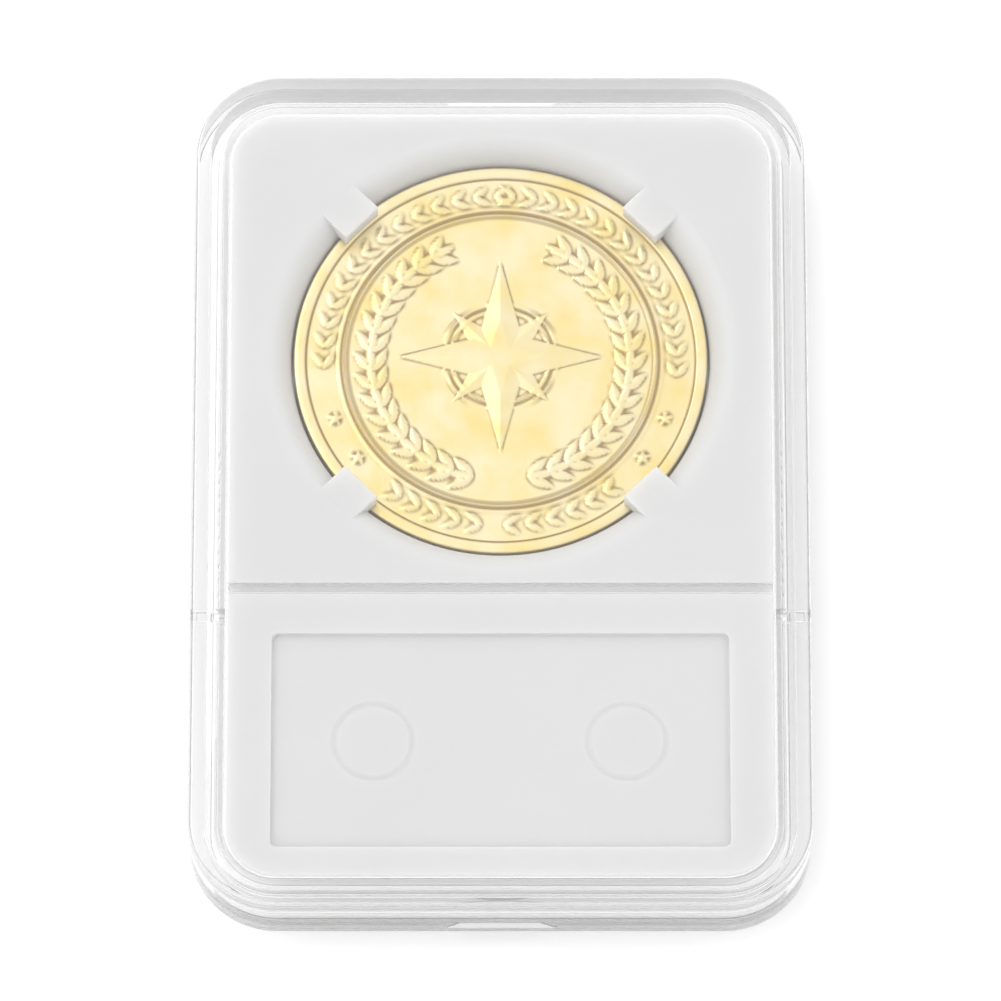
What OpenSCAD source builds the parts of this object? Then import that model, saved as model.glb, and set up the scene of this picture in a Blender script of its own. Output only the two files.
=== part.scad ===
// Stacking coin capsule: a clear rear shell and a clear front shell that lap together,
// a moulded liner between them with a round coin seat and a label recess, and a coin.
// It lies flat on its rear shell. The origin is at the centre of its base, +Z points out of
// the front window, +Y towards the coin end and -Y towards the label end.

/* [Capsule] */
// Overall width of the closed capsule
capsule_width = 60; // [56:0.5:75]
// Overall length of the closed capsule
capsule_length = 86; // [82:0.5:110]
// Overall height of the closed capsule, foot ring to front rim
capsule_height = 9; // [8.5:0.1:12]
// Outer corner radius in plan
corner_radius = 8.5; // [6:0.1:12]
// Thickness of the side walls where the shells lap
wall_thickness = 3.3; // [2.8:0.1:4]
// Thickness of the front window
window_thickness = 1.1; // [0.8:0.1:1.4]
// Thickness of the rear floor
floor_thickness = 1.1; // [0.8:0.1:1.4]
// Chamfer on the outer top and bottom edges
edge_chamfer = 0.3; // [0.1:0.05:0.5]

/* [Stacking rim] */
// Depth of the window below the front rim
rim_depth = 0.9; // [0.6:0.1:1.2]
// Width of the flat top of the front rim
rim_width = 1.5; // [1:0.1:2]
// Width of the slope from the rim down to the window
rim_slope = 1.3; // [0.8:0.1:1.8]
// Height of the foot ring that drops into the rim of the capsule below
foot_height = 0.6; // [0.3:0.1:0.8]
// Width of the foot ring where it joins the floor
foot_width = 2.6; // [2:0.1:4]
// Side clearance between a foot ring and the rim below it
stack_clearance = 0.2; // [0.1:0.05:0.4]

/* [Lap joint] */
// Height of the seam between the shells
seam_height = 3.4; // [3:0.1:4]
// Height of the rear shell's tongue above the seam
tongue_height = 2; // [1.4:0.1:2.4]
// Thickness of the front shell's skirt outside the tongue
skirt_thickness = 1.5; // [1.2:0.1:1.8]
// Gap between the tongue and the skirt
lap_gap = 0.3; // [0.2:0.05:0.4]
// Gap above the tongue
tongue_top_gap = 0.1; // [0.05:0.05:0.3]
// Number of crush ribs on each long side
rib_count = 11; // [5:1:15]
// Spacing of the crush ribs
rib_pitch = 1.45; // [1.2:0.05:2]
// Radius of one crush rib
rib_radius = 0.4; // [0.35:0.05:0.5]
// Clearance between a crush rib and the skirt
rib_clearance = 0.06; // [0.03:0.01:0.1]
// Distance of the locating keys from the divider, towards the label end
key_offset = 2.3; // [0:0.1:4]
// Width of a locating key
key_width = 0.9; // [0.6:0.1:1.4]
// Depth that a locating key drops below the seam
key_depth = 0.5; // [0.3:0.1:0.8]
// Distance of a key's slot from the outer wall
key_margin = 0.4; // [0.3:0.1:0.8]
// Clearance round a locating key
key_clearance = 0.1; // [0.05:0.05:0.2]
// Width of the thumbnail notch at each end
notch_width = 11; // [8:0.5:16]
// Depth of the thumbnail notch into the end wall
notch_depth = 1.2; // [0.8:0.1:1.5]
// Height of the thumbnail notch below the seam
notch_height = 1.5; // [1:0.1:1.8]

/* [Coin] */
// Diameter of the coin
coin_diameter = 40.6; // [32:0.2:42]
// Thickness of the coin at its rim
coin_thickness = 3; // [2:0.1:3.2]
// Width of the coin's raised rim
coin_rim_width = 1.1; // [0.4:0.1:1.5]
// Depth of the coin's fields below its rim
coin_field_depth = 0.25; // [0.1:0.05:0.4]
// Radius of the ring between the border and the field
coin_ring_radius = 15.2; // [10:0.1:16]
// Width of that ring
coin_ring_width = 0.5; // [0.3:0.1:1]

/* [Liner] */
// Gap between the liner and the shell walls
liner_gap = 0.15; // [0.1:0.05:0.3]
// Gap between the liner and the front window
liner_top_gap = 0.1; // [0.05:0.05:0.2]
// Distance of the coin seat from the middle of its field, towards the label end
coin_shift = 0.4; // [0:0.1:1]
// Gap between the coin and the seat wall
seat_gap = 0.2; // [0.15:0.05:0.6]
// Width of the flare round the seat at the front face
flare_width = 2.6; // [1:0.1:2.8]
// Depth of that flare below the front face
flare_depth = 3; // [1:0.1:4]
// Number of prongs round the seat
prong_count = 4; // [3:1:6]
// Width of one prong
prong_width = 4.5; // [3:0.1:6]
// Reach of a prong's front lip over the coin
prong_reach = 1.1; // [0.6:0.1:1.6]
// Clearance between a prong and the coin
prong_clearance = 0.1; // [0.05:0.05:0.2]

/* [Label recess] */
// Width of the label recess
label_width = 44.3; // [38:0.1:48]
// Height of the label recess, along the capsule
label_height = 21.8; // [16:0.2:22]
// Depth of the label recess
label_depth = 0.5; // [0.2:0.1:1]
// Distance of the label recess from the label end of the liner
label_margin = 3; // [2:0.1:5]
// Diameter of the two round marks in the recess
mark_diameter = 8.4; // [6:0.1:10]
// Spacing of the two round marks
mark_spacing = 24.5; // [20:0.5:28]
// Depth of the groove round each mark
mark_depth = 0.12; // [0.05:0.01:0.2]

/* [Divider] */
// Distance of the divider from the label recess
divider_gap = 4.6; // [2:0.1:6]
// Width of the divider rib under the window
divider_width = 0.9; // [0.6:0.1:1.4]
// Depth of the divider rib below the window
divider_depth = 0.5; // [0.4:0.1:1.2]
// Clearance round the divider rib in the liner's groove
divider_clearance = 0.15; // [0.1:0.05:0.3]

/* [Hidden] */
$fn = 64;
past = 0.5;                       // how far a cutter runs past the face it cuts
sides = [-1, 1];

window_top = capsule_height - rim_depth;
window_bottom = window_top - window_thickness;
floor_top = foot_height + floor_thickness;
tongue_top = seam_height + tongue_height;
tongue_inset = skirt_thickness + lap_gap;
pocket_top = tongue_top + tongue_top_gap;
rim_inset = rim_width + rim_slope;
foot_inset = rim_width + stack_clearance;
foot_slope = rim_slope * foot_height / rim_depth;
rib_reach = lap_gap - rib_clearance;
key_slot_width = key_width + 2 * key_clearance;
notch_radius = (notch_width * notch_width / 4 + notch_depth * notch_depth) / (2 * notch_depth);

liner_inset = wall_thickness + liner_gap;
liner_top = window_bottom - liner_top_gap;
liner_width = capsule_width - 2 * liner_inset;
liner_length = capsule_length - 2 * liner_inset;
coin_radius = coin_diameter / 2;
seat_radius = coin_radius + seat_gap;
prong_root = seat_radius + flare_width + past;
label_centre = -liner_length / 2 + label_margin + label_height / 2;
divider_place = label_centre + label_height / 2 + divider_gap;
key_place = divider_place - key_offset;
groove_width = divider_width + 2 * divider_clearance;
coin_place = (liner_length / 2 + divider_place + groove_width / 2) / 2 - coin_shift;
flare_bottom = liner_top - flare_depth;
label_floor = liner_top - label_depth;
mark_groove = 0.35;               // width of the groove round each mark
divider_length = liner_width - 2 * divider_clearance - divider_width;

// A rounded rectangle the capsule's own size, drawn in by an inset on every side.
module outline(inset) {
    width = capsule_width - 2 * inset;
    length = capsule_length - 2 * inset;
    radius = max(corner_radius - inset, 1);
    square([width - 2 * radius, length], center = true);
    square([width, length - 2 * radius], center = true);
    for (x = sides, y = sides)
        translate([x * (width / 2 - radius), y * (length / 2 - radius)])
            circle(r = radius);
}

// A straight-sided slab of that outline between two heights.
module slab(inset, bottom, top) {
    translate([0, 0, bottom])
        linear_extrude(top - bottom)
            outline(inset);
}

// A slab whose four sides slope, from one inset at its bottom to another at its top.
module sloped_slab(bottom_inset, top_inset, bottom, top) {
    outer = min(bottom_inset, top_inset);
    radius = max(corner_radius - outer, 1);
    x_run = capsule_width / 2 - outer - radius;
    y_run = capsule_length / 2 - outer - radius;
    bottom_radius = radius - (bottom_inset - outer);
    top_radius = radius - (top_inset - outer);
    rise = top - bottom;
    for (x = sides, y = sides)
        translate([x * x_run, y * y_run, bottom])
            cylinder(h = rise, r1 = bottom_radius, r2 = top_radius);
    translate([0, 0, bottom])
        rotate([90, 0, 0])
            linear_extrude(2 * y_run, center = true)
                side_profile(x_run, bottom_radius, top_radius, rise);
    translate([0, 0, bottom])
        rotate([90, 0, 90])
            linear_extrude(2 * x_run, center = true)
                side_profile(y_run, bottom_radius, top_radius, rise);
}

// The trapezium that a sloped slab shows from the side.
module side_profile(run, bottom_radius, top_radius, rise) {
    polygon([
        [-run - bottom_radius, 0],
        [run + bottom_radius, 0],
        [run + top_radius, rise],
        [-run - top_radius, rise]
    ]);
}

// Something repeated on both long sides, turned half round for the second.
module on_both_sides() {
    children();
    mirror([1, 0, 0])
        children();
}

// Something repeated at the coin end and the label end.
module at_both_ends() {
    children();
    mirror([0, 1, 0])
        children();
}

// The row of upright crush ribs on one side of the tongue.
module crush_ribs() {
    rib_x = capsule_width / 2 - tongue_inset + rib_reach - rib_radius;
    for (i = [0 : rib_count - 1])
        translate([rib_x, key_place + (i + 1.5) * rib_pitch, seam_height])
            cylinder(h = tongue_height - 0.2, r = rib_radius);
}

// The slot through the tongue and into the shoulder that takes a locating key.
module key_slot() {
    slot_length = wall_thickness - key_margin;
    translate([capsule_width / 2 - wall_thickness - past, key_place - key_slot_width / 2, seam_height - key_depth])
        cube([slot_length + past, key_slot_width, key_depth + tongue_height + past]);
}

// The locating key inside the front shell's skirt.
module locating_key() {
    key_length = wall_thickness - key_margin - key_clearance;
    key_bottom = seam_height - key_depth + key_clearance;
    translate([capsule_width / 2 - wall_thickness, key_place - key_width / 2, key_bottom])
        cube([key_length, key_width, pocket_top + past - key_bottom]);
}

// The shallow scoop that lets a thumbnail under the front shell's skirt.
module thumbnail_notch() {
    translate([0, capsule_length / 2 - notch_depth + notch_radius, seam_height - notch_height])
        cylinder(h = notch_height + past, r = notch_radius, $fn = 128);
}

// Rear half: foot ring, floor, shoulder up to the seam, and the tongue above it.
module rear_shell() {
    color([0.88, 0.9, 0.92, 0.4])
        difference() {
            union() {
                sloped_slab(foot_inset + foot_slope, foot_inset, 0, foot_height);
                sloped_slab(edge_chamfer, 0, foot_height, foot_height + edge_chamfer);
                slab(0, foot_height + edge_chamfer, seam_height);
                slab(tongue_inset, seam_height, tongue_top);
                on_both_sides()
                    crush_ribs();
            }
            slab(foot_inset + foot_width, -past, foot_height);
            slab(wall_thickness, floor_top, tongue_top + past);
            on_both_sides()
                key_slot();
            at_both_ends()
                intersection() {
                    thumbnail_notch();
                    slab(-past, 0, seam_height);
                }
        }
}

// Front half: window, raised stacking rim, skirt outside the tongue and the divider rib.
module front_shell() {
    color([0.9, 0.92, 0.94, 0.4]) {
        difference() {
            union() {
                slab(0, seam_height, capsule_height - edge_chamfer);
                sloped_slab(0, edge_chamfer, capsule_height - edge_chamfer, capsule_height);
            }
            sloped_slab(rim_inset, rim_width, window_top, capsule_height);
            slab(skirt_thickness, seam_height - past, pocket_top);
            slab(wall_thickness, seam_height, window_bottom);
        }
        on_both_sides()
            locating_key();
        divider_rib();
    }
}

// The round-ended rib under the window, between the coin and the label.
module divider_rib() {
    translate([0, divider_place, window_bottom - divider_depth])
        linear_extrude(divider_depth + window_thickness / 2) {
            square([divider_length - divider_width, divider_width], center = true);
            for (x = sides)
                translate([x * (divider_length - divider_width) / 2, 0])
                    circle(d = divider_width);
        }
}

// The groove in the liner that the divider rib drops into, open at both sides.
module divider_groove() {
    groove_floor = window_bottom - divider_depth - divider_clearance;
    translate([0, divider_place, (groove_floor + liner_top + past) / 2])
        cube([liner_width + 2 * past, groove_width, liner_top + past - groove_floor], center = true);
}

// The coin seat: a straight bore with a flare at the front face.
module coin_seat() {
    translate([0, coin_place, floor_top - past])
        cylinder(h = liner_top - floor_top + 2 * past, r = seat_radius, $fn = 128);
    translate([0, coin_place, flare_bottom])
        cylinder(h = flare_depth, r1 = seat_radius, r2 = seat_radius + flare_width, $fn = 128);
    translate([0, coin_place, liner_top - 0.001])
        cylinder(h = past, r = seat_radius + flare_width, $fn = 128);
}

// One prong for each place round the seat, full height, before the coin's space is cut.
module prongs() {
    inner = coin_radius - prong_reach;
    for (i = [0 : prong_count - 1])
        translate([0, coin_place, floor_top])
            rotate([0, 0, 45 + i * 360 / prong_count])
                translate([inner, -prong_width / 2, 0])
                    cube([prong_root - inner, prong_width, liner_top - floor_top]);
}

// The groove round one mark in the label recess.
module mark_ring() {
    translate([0, label_centre, label_floor - mark_depth])
        difference() {
            cylinder(h = mark_depth + past, d = mark_diameter);
            translate([0, 0, -past])
                cylinder(h = mark_depth + 3 * past, d = mark_diameter - 2 * mark_groove);
        }
}

// Liner: fills the shells, with the coin seat, the prongs, the divider groove and the label recess.
module liner() {
    color([0.93, 0.93, 0.93])
        difference() {
            union() {
                difference() {
                    slab(liner_inset, floor_top, liner_top);
                    coin_seat();
                }
                prongs();
            }
            translate([0, coin_place, floor_top - past])
                cylinder(h = coin_thickness + prong_clearance + past, r = coin_radius + prong_clearance, $fn = 128);
            divider_groove();
            translate([0, label_centre, label_floor + label_depth])
                cube([label_width, label_height, 2 * label_depth], center = true);
            for (x = sides)
                translate([x * mark_spacing / 2, 0, 0])
                    mark_ring();
        }
}

// One face of the coin: what is cut from the blank to leave its rim and its ring proud.
module coin_fields() {
    difference() {
        cylinder(h = coin_field_depth + past, r = coin_radius - coin_rim_width, $fn = 128);
        translate([0, 0, -past])
            difference() {
                cylinder(h = coin_field_depth + 3 * past, r = coin_ring_radius, $fn = 128);
                translate([0, 0, -past])
                    cylinder(h = coin_field_depth + 5 * past, r = coin_ring_radius - coin_ring_width, $fn = 128);
            }
    }
}

// Coin: a struck blank, standing on its rear rim on the floor of the rear shell.
module coin() {
    color([0.93, 0.8, 0.45])
        translate([0, coin_place, floor_top + coin_thickness / 2])
            difference() {
                cylinder(h = coin_thickness, r = coin_radius, center = true, $fn = 128);
                for (face = sides)
                    mirror([0, 0, face < 0 ? 1 : 0])
                        translate([0, 0, coin_thickness / 2 - coin_field_depth])
                            coin_fields();
            }
}

rear_shell();
front_shell();
liner();
coin();
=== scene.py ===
"""Coin capsule: two clear lapped shells, a white pronged liner and a struck gold medal."""

import math

import bmesh
import bpy
import numpy as np
from bpy.props import FloatProperty, IntProperty, PointerProperty, StringProperty
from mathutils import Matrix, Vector


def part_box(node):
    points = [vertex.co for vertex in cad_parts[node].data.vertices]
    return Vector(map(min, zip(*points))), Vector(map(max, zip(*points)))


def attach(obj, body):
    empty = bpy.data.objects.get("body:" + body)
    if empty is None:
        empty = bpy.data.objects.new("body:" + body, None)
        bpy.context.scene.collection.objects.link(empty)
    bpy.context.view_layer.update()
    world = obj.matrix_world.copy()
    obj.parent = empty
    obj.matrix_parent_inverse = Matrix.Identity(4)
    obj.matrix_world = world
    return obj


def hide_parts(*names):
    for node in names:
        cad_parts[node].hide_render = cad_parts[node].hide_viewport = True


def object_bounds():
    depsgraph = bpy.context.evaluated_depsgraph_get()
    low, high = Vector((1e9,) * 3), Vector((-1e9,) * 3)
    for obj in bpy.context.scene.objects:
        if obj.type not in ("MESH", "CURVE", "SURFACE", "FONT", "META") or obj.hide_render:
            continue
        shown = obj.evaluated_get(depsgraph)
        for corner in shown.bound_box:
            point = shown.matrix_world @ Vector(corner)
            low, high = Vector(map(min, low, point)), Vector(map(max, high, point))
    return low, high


bl_info = {
    "name": "Coin Capsule",
    "version": (1, 0, 0),
    "blender": (4, 5, 0),
    "location": "View3D > Sidebar > Coin Capsule",
    "description": "Builds a stacking coin capsule round its packed frame",
    "category": "Object",
}

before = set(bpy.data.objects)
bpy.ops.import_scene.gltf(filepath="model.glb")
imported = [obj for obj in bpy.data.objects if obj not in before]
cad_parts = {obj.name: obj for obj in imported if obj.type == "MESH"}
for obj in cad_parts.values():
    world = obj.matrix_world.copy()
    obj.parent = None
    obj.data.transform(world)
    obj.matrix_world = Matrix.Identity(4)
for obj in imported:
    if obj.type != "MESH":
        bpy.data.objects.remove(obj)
CAD_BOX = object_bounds()
REAR_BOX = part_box("rear_shell")
FRONT_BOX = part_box("front_shell")
LINER_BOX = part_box("liner")
COIN_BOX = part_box("coin")

MM = 0.001
CORNER_STEPS = 24          # faces round each corner of a shell
SMALL_CORNER_STEPS = 8     # faces round each corner of the divider rib and the label recess
ROUND_STEPS = 160          # faces round the coin seat
RIB_STEPS = 20             # faces round a crush rib
NOTCH_STEPS = 240          # faces round a notch cutter, of which the wall meets a few
ARC_STEP = math.radians(15)   # most that one face of a fillet turns
SUPPORT = 0.04 * MM        # width of the flat face that holds a fillet's shading
HAIR = 0.03 * MM           # gap that keeps two touching faces apart
PAST = 0.5 * MM            # how far a cutter runs past the face it cuts
PANE_EDGE = 3 * MM         # how far a pane's flat face runs in from its edge before the cap
GROOVE_STEPS = 96          # faces round an ejector mark
COIN_SHARP = 50            # degrees past which an edge of the medal is crisp
CLEAR_PASS = 0.94          # share of light that a clear wall lets straight through
COIN_TURNS = 640           # points round the medal's front, twice as many as round its back


# ---------------------------------------------------------------- settings


def length(name, description, default):
    """A length in millimetres, kept as a Blender distance."""
    return FloatProperty(name=name, description=description, default=default * MM, subtype="DISTANCE",
                         unit="LENGTH", precision=5)


def colour(name, description, default):
    """A colour given as an sRGB hex value."""
    return StringProperty(name=name, description=description, default=default)


class ShellSizes(bpy.types.PropertyGroup):
    """Sizes of the two clear shells."""
    corner: length("Corner radius", "Outer corner radius in plan", 8.5)
    wall: length("Wall", "Thickness of the side walls", 3.3)
    pane: length("Pane", "Thickness of the window and of the floor", 1.1)
    rim_depth: length("Rim depth", "Depth of the window below the rim", 0.9)
    rim_width: length("Rim width", "Width of the rim's flat top", 1.5)
    rim_slope: length("Rim slope", "Width of the slope down to the window", 1.3)
    foot_height: length("Foot height", "Height of the foot ring", 0.6)
    foot_inset: length("Foot inset", "Distance of the foot ring from the outer wall", 1.7)
    foot_width: length("Foot width", "Width of the foot ring where it joins the floor", 2.6)
    skirt: length("Skirt", "Thickness of the front shell's skirt", 1.5)
    tongue: length("Tongue", "Height of the rear shell's tongue above the seam", 2)
    lap_gap: length("Lap gap", "Gap between the tongue and the skirt", 0.3)
    edge: length("Edge rounding", "Rounding of the outer edges", 0.4)


class JointSizes(bpy.types.PropertyGroup):
    """Sizes of the crush ribs, the locating keys, the divider and the thumbnail notches."""
    ribs: IntProperty(name="Crush ribs", description="Crush ribs on each long side", default=11, min=1)
    rib_pitch: length("Rib pitch", "Spacing of the crush ribs", 1.45)
    rib_radius: length("Rib radius", "Radius of a crush rib", 0.4)
    rib_reach: length("Rib reach", "How far a rib stands out of the tongue", 0.24)
    key_place: length("Key place", "Distance of the keys towards the label end", 12.45)
    key_width: length("Key width", "Width of a locating key", 0.9)
    key_gap: length("Key gap", "Clearance round a locating key", 0.1)
    key_depth: length("Key depth", "Depth that a key drops below the seam", 0.5)
    key_margin: length("Key margin", "Distance of a key's slot from the outer wall", 0.4)
    notch_width: length("Notch width", "Width of a thumbnail notch", 11)
    notch_depth: length("Notch depth", "Depth of a thumbnail notch", 1.2)
    notch_height: length("Notch height", "Height of a thumbnail notch", 1.5)
    divider_place: length("Divider place", "Distance of the divider towards the label end", 10.15)
    divider_width: length("Divider width", "Width of the divider rib", 0.9)
    divider_depth: length("Divider depth", "Depth of the divider rib", 0.5)
    divider_gap: length("Divider gap", "Clearance round the divider rib", 0.15)


class LinerSizes(bpy.types.PropertyGroup):
    """Sizes of the moulded liner."""
    seat_gap: length("Seat gap", "Gap between the coin and the seat wall", 0.2)
    flare_width: length("Flare width", "Width of the rounded lip of the seat", 2.6)
    flare_depth: length("Flare depth", "Depth of the rounded lip of the seat", 3)
    prongs: IntProperty(name="Prongs", description="Prongs round the seat", default=4, min=2)
    prong_width: length("Prong width", "Width of a prong", 4.5)
    prong_reach: length("Prong reach", "Reach of a prong over the coin", 1.1)
    prong_gap: length("Prong gap", "Clearance between a prong and the coin", 0.1)
    label_width: length("Label width", "Width of the label recess", 44.3)
    label_height: length("Label height", "Height of the label recess", 21.8)
    label_depth: length("Label depth", "Depth of the label recess", 0.5)
    label_margin: length("Label margin", "Distance of the recess from the liner's end", 3)
    mark_diameter: length("Mark diameter", "Diameter of the ejector marks", 8.4)
    mark_spacing: length("Mark spacing", "Spacing of the ejector marks", 24.5)
    mark_depth: length("Mark depth", "Depth of the ejector marks' grooves", 0.12)


class CoinSizes(bpy.types.PropertyGroup):
    """Sizes of the medal's relief."""
    rim: length("Rim", "Width of the raised rim", 1.1)
    field: length("Field", "Depth of the fields below the rim", 0.25)
    ring: length("Ring radius", "Radius of the ring inside the border", 15.3)
    star: length("Star radius", "Radius of the compass star", 10.2)
    wreath: length("Wreath radius", "Radius of the laurel wreath", 12.6)


class Finishes(bpy.types.PropertyGroup):
    """Colours of the materials and the strength of the lights."""
    clear: colour("Clear plastic", "Tint of the clear shells", "#FCFCFC")
    liner: colour("Liner", "Colour of the liner", "#D0D0D0")
    gold: colour("Gold", "Colour of the medal", "#E9DBAE")
    warm_gold: colour("Warm gold", "Deeper patches of the medal's plate", "#E5CC74")
    # Colour mixed in where the medal's surface lies below what is round it
    hollow_tone: colour("Hollow_tone", "Colour in the medal's hollows", "#86642A")
    floor: colour("Floor", "Colour of the floor", "#F0F0F0")
    key_power: FloatProperty(name="Key power", description="Power of the main light", default=3.0,
                             subtype="POWER", unit="POWER")
    fill_power: FloatProperty(name="Fill power", description="Power of the side lights", default=0.2,
                              subtype="POWER", unit="POWER")


class CapsuleSettings(bpy.types.PropertyGroup):
    """Everything about the capsule that a user would change."""
    shell: PointerProperty(type=ShellSizes)
    joint: PointerProperty(type=JointSizes)
    liner: PointerProperty(type=LinerSizes)
    coin: PointerProperty(type=CoinSizes)
    finish: PointerProperty(type=Finishes)


# ---------------------------------------------------------------- outlines and lofts


def rounded_rectangle(half_width, half_length, radius, steps=CORNER_STEPS):
    """The points of a rounded rectangle, anticlockwise, corner by corner."""
    points = []
    for quarter, (x, y) in enumerate(((1, 1), (-1, 1), (-1, -1), (1, -1))):
        for i in range(steps + 1):
            angle = math.pi / 2 * (quarter + i / steps)
            points.append((x * (half_width - radius) + radius * math.cos(angle),
                           y * (half_length - radius) + radius * math.sin(angle)))
    return points


def shell_outline(inset, corner):
    """The capsule's outline drawn in by an inset, with its corners about the same centres."""
    low, high = CAD_BOX
    radius = max(corner - inset, 0.5 * MM)
    return rounded_rectangle((high.x - low.x) / 2 - inset, (high.y - low.y) / 2 - inset, radius)


def circle(radius, centre, steps):
    """The points of a circle."""
    turns = [2 * math.pi * i / steps for i in range(steps)]
    return [(centre[0] + radius * math.cos(a), centre[1] + radius * math.sin(a)) for a in turns]


def filleted(corners):
    """A profile of (inset, height, fillet radius) corners as points, with its corners rounded."""
    points = [corners[0][:2]]
    for before, here, after in zip(corners, corners[1:], corners[2:]):
        corner = Vector(here[:2])
        to_before = Vector(before[:2]) - corner
        to_after = Vector(after[:2]) - corner
        if here[2] <= 0:
            points.append(tuple(corner))
            continue
        half = to_before.angle(to_after) / 2
        room = 0.45 * min(to_before.length, to_after.length)
        tangent = min(here[2] / math.tan(half), room)
        radius = tangent * math.tan(half)
        to_before.normalize()
        to_after.normalize()
        centre = corner + (to_before + to_after).normalized() * (radius / math.sin(half))
        start, end = corner + to_before * tangent, corner + to_after * tangent
        steps = max(2, math.ceil((math.pi - 2 * half) / ARC_STEP))
        hold = min(SUPPORT, 0.05 * min(tangent, room))
        points.append(tuple(start + to_before * hold))
        first, last = start - centre, end - centre
        turn = first.angle_signed(last)
        for i in range(steps + 1):
            angle = -turn * i / steps
            spoke = Vector((first.x * math.cos(angle) - first.y * math.sin(angle),
                            first.x * math.sin(angle) + first.y * math.cos(angle)))
            points.append(tuple(centre + spoke))
        points.append(tuple(end + to_after * hold))
    points.append(corners[-1][:2])
    return points


def mesh_from(form, name):
    """The form as a named mesh."""
    mesh = bpy.data.meshes.new(name)
    form.to_mesh(mesh)
    form.free()
    return mesh


def wrap(form, here, there):
    """Faces between two closed rings of equally many points."""
    for i in range(len(here)):
        j = (i + 1) % len(here)
        form.faces.new((here[i], here[j], there[j], there[i]))


def new_piece(name, mesh):
    """An object at the origin that holds a mesh."""
    piece = bpy.data.objects.new(name, mesh)
    bpy.context.scene.collection.objects.link(piece)
    return piece


def solid_of_rings(name, rings):
    """A closed solid through rings of equally many points, with a flat cap on each end."""
    form = bmesh.new()
    loops = [[form.verts.new(point) for point in ring] for ring in rings]
    for below, above in zip(loops, loops[1:]):
        wrap(form, below, above)
    form.faces.new(loops[0])
    form.faces.new(loops[-1])
    bmesh.ops.recalc_face_normals(form, faces=form.faces)
    return new_piece(name, mesh_from(form, name))


def turned_solid(name, levels, centre, steps):
    """A closed round solid through (radius, height) levels about an upright axis."""
    return solid_of_rings(name, [[(x, y, z) for x, y in circle(r, centre, steps)] for r, z in levels])


def shell_solid(name, corners, corner_radius):
    """A shell: the capsule's outline carried along a profile from one flat pane to the other."""
    rings = []
    for inset, height in filleted(corners):
        rings.append([(x, y, height) for x, y in shell_outline(inset, corner_radius)])
    return solid_of_rings(name, rings)


def block(name, low, high, rounding=0.0):
    """A box between two corners, with its edges rounded."""
    form = bmesh.new()
    bmesh.ops.create_cube(form, size=1)
    for vert in form.verts:
        vert.co = [low[i] + (vert.co[i] + 0.5) * (high[i] - low[i]) for i in range(3)]
    if rounding:
        bmesh.ops.bevel(form, geom=form.edges[:], offset=rounding, segments=3, profile=0.5, affect="EDGES")
    return new_piece(name, mesh_from(form, name))


def evaluated_mesh(piece):
    """The piece's mesh with its modifiers worked out."""
    bpy.context.view_layer.update()
    graph = bpy.context.evaluated_depsgraph_get()
    return bpy.data.meshes.new_from_object(piece.evaluated_get(graph), depsgraph=graph)


def bake_modifiers(piece):
    """Puts the result of a piece's modifiers in its mesh and takes them off."""
    mesh = evaluated_mesh(piece)
    piece.modifiers.clear()
    mesh.name = piece.name
    piece.data = mesh
    return piece


def combine(piece, tools, operation):
    """Cuts tools out of a piece, or joins them to it, and removes them."""
    for tool in tools:
        cut = piece.modifiers.new(operation.lower(), "BOOLEAN")
        cut.operation = operation
        cut.solver = "EXACT"
        cut.object = tool
        bake_modifiers(piece)
        bpy.data.objects.remove(tool)
    return piece


def smooth_faces(piece, sharp_degrees=38):
    """Smooth shading that keeps flat faces flat and leaves cut edges crisp."""
    mesh = piece.data
    mesh.polygons.foreach_set("use_smooth", [True] * len(mesh.polygons))
    mesh.set_sharp_from_angle(angle=math.radians(sharp_degrees))
    weight = piece.modifiers.new("weighted normals", "WEIGHTED_NORMAL")
    weight.keep_sharp = True
    weight.weight = 100
    return bake_modifiers(piece)


def finish_piece(piece, material, body, node):
    """Gives a piece its material and its body, and hides the CAD node that it stands for."""
    piece.data.materials.clear()
    piece.data.materials.append(material)
    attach(piece, body)
    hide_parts(node)


# ---------------------------------------------------------------- node helpers


def linear(hex_colour):
    """An sRGB hex colour as linear RGBA."""
    values = [int(hex_colour[i:i + 2], 16) / 255 for i in (1, 3, 5)]
    return [v / 12.92 if v <= 0.04045 else ((v + 0.055) / 1.055) ** 2.4 for v in values] + [1.0]


def add_node(tree, kind, inputs=None, **settings):
    """A node with its settings, and its inputs set to values or linked to sockets."""
    node = tree.nodes.new(kind)
    for name, value in settings.items():
        setattr(node, name, value)
    for name, value in (inputs or {}).items():
        if isinstance(value, bpy.types.NodeSocket):
            tree.links.new(value, node.inputs[name])
        else:
            node.inputs[name].default_value = value
    return node


def new_material(name):
    """An empty material with its tree."""
    material = bpy.data.materials.new(name)
    material.use_nodes = True
    material.node_tree.nodes.clear()
    return material, material.node_tree


def copies_tree(name, inputs):
    """A geometry tree with its output, named inputs and their sockets by name."""
    tree = bpy.data.node_groups.new(name, "GeometryNodeTree")
    tree.interface.new_socket(name="Geometry", in_out="OUTPUT", socket_type="NodeSocketGeometry")
    identifiers = {}
    for label, kind in inputs.items():
        socket = tree.interface.new_socket(name=label, in_out="INPUT", socket_type=kind)
        identifiers[label] = socket.identifier
    return tree, identifiers, tree.nodes.new("NodeGroupInput").outputs


def close_tree(tree, instances, material):
    """Ends a tree in real geometry with its material."""
    real = add_node(tree, "GeometryNodeRealizeInstances", {"Geometry": instances})
    dressed = add_node(tree, "GeometryNodeSetMaterial", {"Geometry": real.outputs[0], "Material": material})
    add_node(tree, "NodeGroupOutput", {"Geometry": dressed.outputs[0]})


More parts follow.
